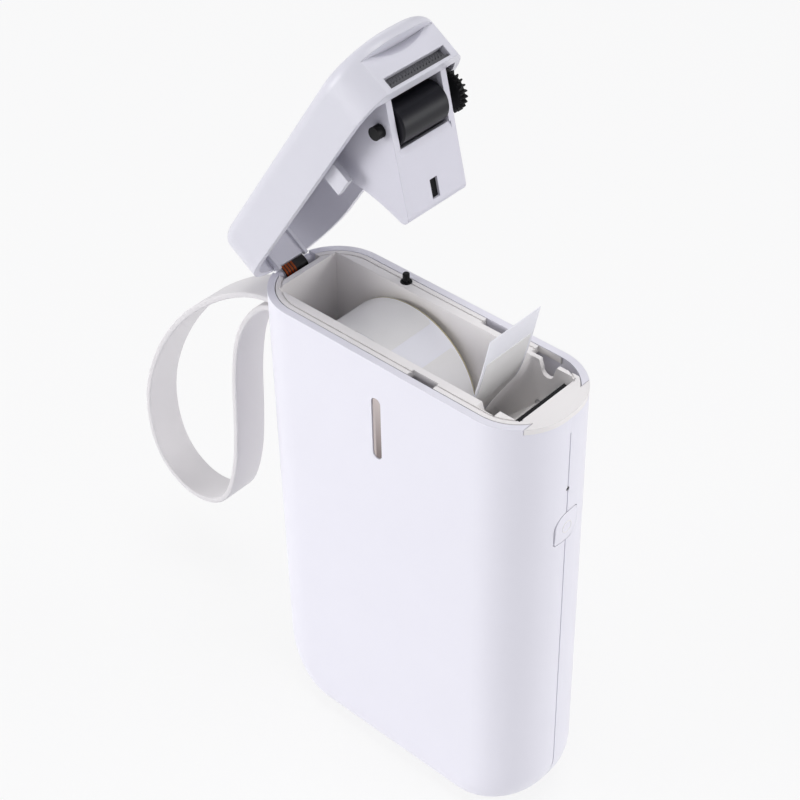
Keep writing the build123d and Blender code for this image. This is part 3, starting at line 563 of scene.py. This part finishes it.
def make_camera():
    """The camera, placed by where it looks, from how far and from which side."""
    camera = bpy.data.cameras.new("camera")
    camera.lens = CAMERA_LENS
    camera.sensor_width = CAMERA_SENSOR
    camera.clip_start = 0.01
    camera.clip_end = 20.0
    holder = bpy.data.objects.new("camera", camera)
    bpy.context.scene.collection.objects.link(holder)
    side, rise, roll = radians(CAMERA_AZIMUTH), radians(CAMERA_ELEVATION), radians(CAMERA_ROLL)
    back = Vector((sin(side) * cos(rise), -cos(side) * cos(rise), sin(rise)))
    level = Vector((cos(side), sin(side), 0))
    above = back.cross(level)
    right = level * cos(roll) + above * sin(roll)
    up = back.cross(right)
    turn = Matrix((right, up, back)).transposed().to_4x4()
    holder.matrix_world = Matrix.Translation(CAMERA_AIM + back * CAMERA_DISTANCE) @ turn
    bpy.context.scene.camera = holder


def make_floor():
    """A wide pale floor that shows white to the camera and keeps the object's shadow."""
    mesh = bpy.data.meshes.new("floor")
    corners = [(x * FLOOR_HALF, y * FLOOR_HALF, 0) for x, y in ((-1, -1), (1, -1), (1, 1), (-1, 1))]
    mesh.from_pydata(corners, [], [(0, 1, 2, 3)])
    floor = bpy.data.objects.new("floor", mesh)
    bpy.context.scene.collection.objects.link(floor)
    material, tree, shader = start_finish("floor_pale", colours().floor, 0.85)
    glow = add(tree, "ShaderNodeEmission", {"Color": (1, 1, 1, 1), "Strength": FLOOR_GLOW})
    path = add(tree, "ShaderNodeLightPath")
    seen = add(tree, "ShaderNodeMath", {0: path.outputs["Is Camera Ray"], 1: path.outputs["Is Glossy Ray"]},
               operation="MAXIMUM")
    seen = add(tree, "ShaderNodeMath", {0: seen.outputs[0], 1: path.outputs["Is Transmission Ray"]},
               operation="MAXIMUM")
    share = add(tree, "ShaderNodeMath", {0: seen.outputs[0], 1: FLOOR_GLOW_SHARE}, operation="MULTIPLY")
    mix = add(tree, "ShaderNodeMixShader", {0: share.outputs[0], 1: shader.outputs[0], 2: glow.outputs[0]})
    tree.links.new(mix.outputs[0], tree.nodes["Material Output"].inputs["Surface"])
    mesh.materials.append(material)


def make_lights():
    """Large soft lamps round the object and a plain pale world."""
    for name, (position, target, width, power) in LIGHTS.items():
        lamp = bpy.data.lights.new(name, "AREA")
        lamp.shape = "SQUARE"
        lamp.size = width
        lamp.energy = power
        holder = bpy.data.objects.new(name, lamp)
        bpy.context.scene.collection.objects.link(holder)
        holder.location = position
        holder.rotation_mode = "QUATERNION"
        holder.rotation_quaternion = (Vector(target) - Vector(position)).to_track_quat("-Z", "Y")
    world = bpy.data.worlds.new("pale_world")
    bpy.context.scene.world = world
    world.use_nodes = True
    tree = world.node_tree
    soft = tree.nodes["Background"]
    soft.inputs["Color"].default_value = WORLD_COLOUR
    soft.inputs["Strength"].default_value = WORLD_STRENGTH
    white = add(tree, "ShaderNodeBackground", {"Color": (1, 1, 1, 1), "Strength": 1.0})
    path = add(tree, "ShaderNodeLightPath")
    mix = add(tree, "ShaderNodeMixShader", {0: path.outputs["Is Camera Ray"], 1: soft.outputs[0],
                                            2: white.outputs[0]})
    tree.links.new(mix.outputs[0], tree.nodes["World Output"].inputs["Surface"])
    bpy.context.scene.view_settings.view_transform = "Standard"


class LABELMAKER_OT_strap(Operator):
    """Makes the flat wrist strap as one smooth loop"""
    bl_idname = "labelmaker.strap"
    bl_label = "Wrist strap"

    def execute(self, context):
        size = sizes()
        line = route_points(STRAP_ROUTE)
        profile = rounded_rectangle(size.strap_width, size.strap_thickness, size.strap_edge)
        rings = [[point + Vector((0, across, 0)) + out * thick for across, thick in profile]
                 for point, out in zip(line, side_frames(line))]
        strap = piece("wrist_strap_loop", *swept(rings), [finish("strap")], "casing", "strap_silicone")
        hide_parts("wrist_strap")
        return {"FINISHED"}


class LABELMAKER_OT_casing(Operator):
    """Gives the casing, the inner frame and all that is fixed in it their finishes"""
    bl_idname = "labelmaker.casing"
    bl_label = "Casing and inner parts"

    def execute(self, context):
        dress_all(NODE_FINISHES)
        return {"FINISHED"}


class LABELMAKER_OT_lid(Operator):
    """Gives the lid, the roller carrier, the roller and the gear their finishes"""
    bl_idname = "labelmaker.lid"
    bl_label = "Lid and roller"

    def execute(self, context):
        dress_all(LID_FINISHES)
        return {"FINISHED"}


def ring(name, middle, axis, radius, tube, look, body, slot):
    """A thin round ring about an axis."""
    ring_steps, tube_steps = 48, 10
    first = axis.orthogonal().normalized()
    second = axis.cross(first)
    rings = []
    for step in range(ring_steps):
        angle = 2 * pi * step / ring_steps
        out = first * cos(angle) + second * sin(angle)
        centre = middle + out * radius
        turns = (2 * pi * k / tube_steps for k in range(tube_steps))
        rings.append([centre + out * (tube * cos(turn)) + axis * (tube * sin(turn)) for turn in turns])
    vertices, faces = swept(rings + [rings[0]], caps=False)
    return piece(name, vertices, faces, [finish(look)], body, slot)


class LABELMAKER_OT_button_mark(Operator):
    """Adds the plain raised ring on the side button"""
    bl_idname = "labelmaker.button_mark"
    bl_label = "Button ring"

    def execute(self, context):
        size = sizes()
        low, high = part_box("side_button")
        middle = Vector((high.x - RING_SEAT, 0, (low.z + high.z) / 2))
        ring("button_ring", middle, Vector((1, 0, 0)), size.mark_radius, size.mark_width / 2, "inner",
             "button", "white_button")
        return {"FINISHED"}


class LABELMAKER_OT_pin_collar(Operator):
    """Adds the black collar that the lid switch pin stands in"""
    bl_idname = "labelmaker.pin_collar"
    bl_label = "Pin collar"

    def execute(self, context):
        size = sizes()
        low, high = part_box("lid_switch_pin")
        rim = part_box("chassis")[1].z
        radius = (high.x - low.x) / 2 + size.collar_width / 2 + COLLAR_GAP
        middle = Vector(((low.x + high.x) / 2, (low.y + high.y) / 2, rim))
        ring("pin_collar", middle, Vector((0, 0, 1)), radius, size.collar_width / 2, "black", "casing",
             "black_plastic")
        return {"FINISHED"}


class LABELMAKER_OT_blade_backing(Operator):
    """Makes the dark plate in the lid's outlet that the tear-off blade stands on: a dark ribbed strip, and
    partly painted shade where the outlet's recess is dark
    """
    bl_idname = "labelmaker.blade_backing"
    bl_label = "Blade backing"

    def execute(self, context):
        size = sizes()
        half = size.backing_length / 2
        front = BACKING_X + size.backing_thickness
        pitch = size.backing_length / size.backing_ribs
        blocks = [(0.0, size.backing_length, size.backing_height, BACKING_X, front)]
        blocks += [(pitch * (index + 0.5) - half, pitch * 0.45, size.backing_height * 0.8,
                    front - BACKING_RIB_SEAT, front + BACKING_RIB_RISE) for index in range(size.backing_ribs)]
        vertices, faces = [], []
        for y, width, height, back, face in blocks:
            outline = rounded_rectangle(width, height, BACKING_ROUNDING, 2)
            rings = [[lid_opened(Vector((x, y + across, BACKING_HEIGHT + up))) for across, up in outline]
                     for x in (back, face)]
            points, loops = swept(rings)
            faces += [tuple(len(vertices) + corner for corner in loop) for loop in loops]
            vertices += points
        piece("blade_backing_and_shade", vertices, faces, [finish("dark_backing_and_shade")], "lid", "cutter_steel", smooth=False)
        return {"FINISHED"}


def lid_opened(point):
    """Where a point of the shut lid is when the lid stands open, as it does at rest."""
    angle = radians(LID_OPEN)
    x, z = point.x - HINGE.x, point.z - HINGE.z
    return Vector((HINGE.x + x * cos(angle) - z * sin(angle), point.y,
                   HINGE.z + x * sin(angle) + z * cos(angle)))


def label_spans(strip_length):
    """Start and end of each label, measured along the liner from where it leaves the roll."""
    size = sizes()
    spans = []
    top = strip_length - size.label_tail
    while top > -FULL_TURN:
        spans.append((top - size.label_length, top))
        top -= size.label_length + size.label_gap
    return spans


def turned(radius, degrees, y):
    """A point about the label roll's axis."""
    angle = radians(degrees)
    return Vector((ROLL_CENTRE.x + radius * cos(angle), y, ROLL_CENTRE.z + radius * sin(angle)))


class LABELMAKER_OT_label_roll(Operator):
    """Makes the label roll: wound liner with die-cut labels that stand up from it"""
    bl_idname = "labelmaker.label_roll"
    bl_label = "Label roll"

    def execute(self, context):
        size = sizes()
        outer = ROLL_RADIUS - size.label_thickness
        half = size.liner_width / 2
        bead, margin = ROLL_BEAD, ROLL_MARGIN
        profile = [(CORE_RADIUS, -half), (outer - bead, -half), (outer, -half + bead), (outer, margin - half),
                   (outer, half - margin), (outer, half - bead), (outer - bead, half), (CORE_RADIUS, half)]
        rings = [[turned(radius, 360 * step / ROLL_STEPS, y) for radius, y in profile]
                 for step in range(ROLL_STEPS)]
        vertices, faces = swept(rings + [rings[0]], caps=False)
        looks = [finish("roll_sides"), finish("liner"), finish("wound_edge")]
        roll = piece("label_roll_wound", vertices, faces, looks, "roll", "label_paper")
        for face in roll.data.polygons:
            centre = face.center
            reach = hypot(centre.x - ROLL_CENTRE.x, centre.z - ROLL_CENTRE.z)
            on_top = abs(centre.y) < half - margin and reach > outer - bead
            face.material_index = 1 if on_top else 2 if reach > outer - bead else 0
            face.use_smooth = reach > outer - 0.2 * bead
        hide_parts("label_roll")
        for index, (start, end) in enumerate(label_spans(path_length(strip_line())[-1])):
            start, end = max(start, LABEL_SEAM_GAP - FULL_TURN), min(end, -LABEL_SEAM_GAP)
            if start < end:
                label_pad(f"roll_label_{index + 1}", start, end).parent = roll
        return {"FINISHED"}


def label_pad(name, start, end):
    """One label on the roll, bent round it, between two places along the wound liner."""
    size = sizes()
    half = size.label_width / 2
    inner, outer = ROLL_RADIUS - size.label_thickness * 1.2, ROLL_RADIUS
    rings = []
    for step in range(LABEL_STEPS + 1):
        angle = STRIP_START_ANGLE - degrees((start + (end - start) * step / LABEL_STEPS) / ROLL_RADIUS)
        edge = half if 0 < step < LABEL_STEPS else half - LABEL_END_EASE
        rings.append([turned(inner, angle, -edge), turned(outer, angle, -edge), turned(outer, angle, edge),
                      turned(inner, angle, edge)])
    return piece(name, *swept(rings), [finish("label")], "roll", "label_paper", smooth=False)


def strip_line():
    """The middle line of the strip, from where it leaves the roll to its end."""
    leave = ROLL_RADIUS + STRIP_CLEARANCE
    angle = radians(STRIP_START_ANGLE)
    start = Vector((ROLL_CENTRE.x + leave * cos(angle), 0, ROLL_CENTRE.z + leave * sin(angle)))
    second = start + Vector((-sin(angle), 0, cos(angle))) * STRIP_RISE
    return route_points([start, second, second.lerp(STRIP_BEND, 0.6), STRIP_BEND, STRIP_END])


def path_length(line):
    """How far each point of a line is from its start, along the line."""
    travelled = [0.0]
    for before, after in zip(line, line[1:]):
        travelled.append(travelled[-1] + (after - before).length)
    return travelled


class LABELMAKER_OT_label_strip(Operator):
    """Makes the strip of liner that stands out of the chamber, with a label on it"""
    bl_idname = "labelmaker.label_strip"
    bl_label = "Label strip"

    def execute(self, context):
        size = sizes()
        line = strip_line()
        frames = side_frames(line)
        half = size.liner_width / 2
        thin = size.liner_thickness / 2
        rings = [[point + out * side * thin + Vector((0, y, 0)) for side, y in
                  ((-1, -half), (1, -half), (1, half), (-1, half))] for point, out in zip(line, frames)]
        liner = piece("label_strip_liner", *swept(rings), [finish("liner")], "casing", "label_paper",
                      smooth=False)
        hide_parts("label_strip")
        travelled = path_length(line)
        soft_pieces = [liner]
        half = size.label_width / 2
        near, far = -thin, -thin - size.label_thickness
        for index, (start, end) in enumerate(label_spans(travelled[-1])):
            if end < SHORTEST_LABEL:
                continue
            pads = [[point + out * depth + Vector((0, y, 0)) for depth, y in
                     ((near, -half), (far, -half), (far, half), (near, half))]
                    for point, out, reach in zip(line, frames, travelled) if max(start, 0) <= reach <= end]
            soft_pieces.append(piece(f"strip_label_{index + 1}", *swept(pads), [finish("label")], "casing",
                                     "label_paper", smooth=False))
        # Each piece of the strip gets a mesh of its own
        for soft in soft_pieces:
            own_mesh(soft)
        return {"FINISHED"}


class LABELMAKER_OT_flex(Operator):
    """Makes the flex strip at the hinge, with its copper tracks"""
    bl_idname = "labelmaker.flex"
    bl_label = "Flex strip"

    def execute(self, context):
        size = sizes()
        dress("lid_cable", finish("film"))
        line = flex_line()
        half = size.flex_width / 2
        flex_ribbon("flex_film", line, -half, half, -FILM_HALF, FILM_HALF, "film")
        # The tracks lie side by side on the front half of the film
        pitch = half / size.track_count
        for index in range(size.track_count):
            y = -half + pitch * (index + 0.5)
            track = size.track_width / 2
            flex_ribbon(f"flex_track_{index + 1}", line, y - track, y + track, FILM_HALF, TRACK_TOP, "copper")
        return {"FINISHED"}


def flex_line():
    """The flex's line: up from beside the chamber, round the hinge barrel and along the lid's arm."""
    low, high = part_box("lid_cable")
    foot = Vector(((low.x + high.x) / 2, 0, high.z))
    line = [foot - Vector((0, 0, FLEX_FOOT)), foot]
    for step in range(1, FLEX_STEPS + 1):
        angle = radians(LID_OPEN * step / FLEX_STEPS)
        line.append(HINGE + Vector((cos(angle), 0, sin(angle))) * FLEX_RADIUS)
    angle = radians(LID_OPEN)
    line.append(line[-1] + Vector((-sin(angle), 0, cos(angle))) * FLEX_RISE)
    return line


def flex_ribbon(name, line, y0, y1, near, far, look):
    """A thin band that lies along the flex's line, bent round the hinge to the lid's open angle."""
    rings = [[point - out * near + Vector((0, y0, 0)), point - out * far + Vector((0, y0, 0)),
              point - out * far + Vector((0, y1, 0)), point - out * near + Vector((0, y1, 0))]
             for point, out in zip(line, side_frames(line))]
    band = piece(name, *swept(rings), [finish(look)], None, "black_plastic", smooth=False)
    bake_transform(band)


class LABELMAKER_PT_panel(Panel):
    bl_idname = "LABELMAKER_PT_panel"
    bl_label = "Label Maker"
    bl_space_type = "VIEW_3D"
    bl_region_type = "UI"
    bl_category = "Label Maker"

    def draw(self, context):
        layout = self.layout
        for operator in OPERATORS:
            layout.operator(operator.bl_idname)
        for group, title in ((context.scene.label_maker_sizes, "Sizes"),
                             (context.scene.label_maker_colours, "Colours")):
            box = layout.box()
            box.label(text=title)
            for name in group.__annotations__:
                box.prop(group, name)


OPERATORS = (
    LABELMAKER_OT_stage,
    LABELMAKER_OT_strap,
    LABELMAKER_OT_casing,
    LABELMAKER_OT_lid,
    LABELMAKER_OT_button_mark,
    LABELMAKER_OT_pin_collar,
    LABELMAKER_OT_blade_backing,
    LABELMAKER_OT_label_roll,
    LABELMAKER_OT_label_strip,
    LABELMAKER_OT_flex,
)
CLASSES = (LabelMakerSizes, LabelMakerColours, *OPERATORS, LABELMAKER_PT_panel)


def register():
    for kind in CLASSES:
        bpy.utils.register_class(kind)
    bpy.types.Scene.label_maker_sizes = PointerProperty(type=LabelMakerSizes)
    bpy.types.Scene.label_maker_colours = PointerProperty(type=LabelMakerColours)


def unregister():
    del bpy.types.Scene.label_maker_colours
    del bpy.types.Scene.label_maker_sizes
    for kind in reversed(CLASSES):
        bpy.utils.unregister_class(kind)


def main():
    register()
    for operator in OPERATORS:
        group, name = operator.bl_idname.split(".")
        getattr(getattr(bpy.ops, group), name)()


if __name__ == "__main__":
    main()
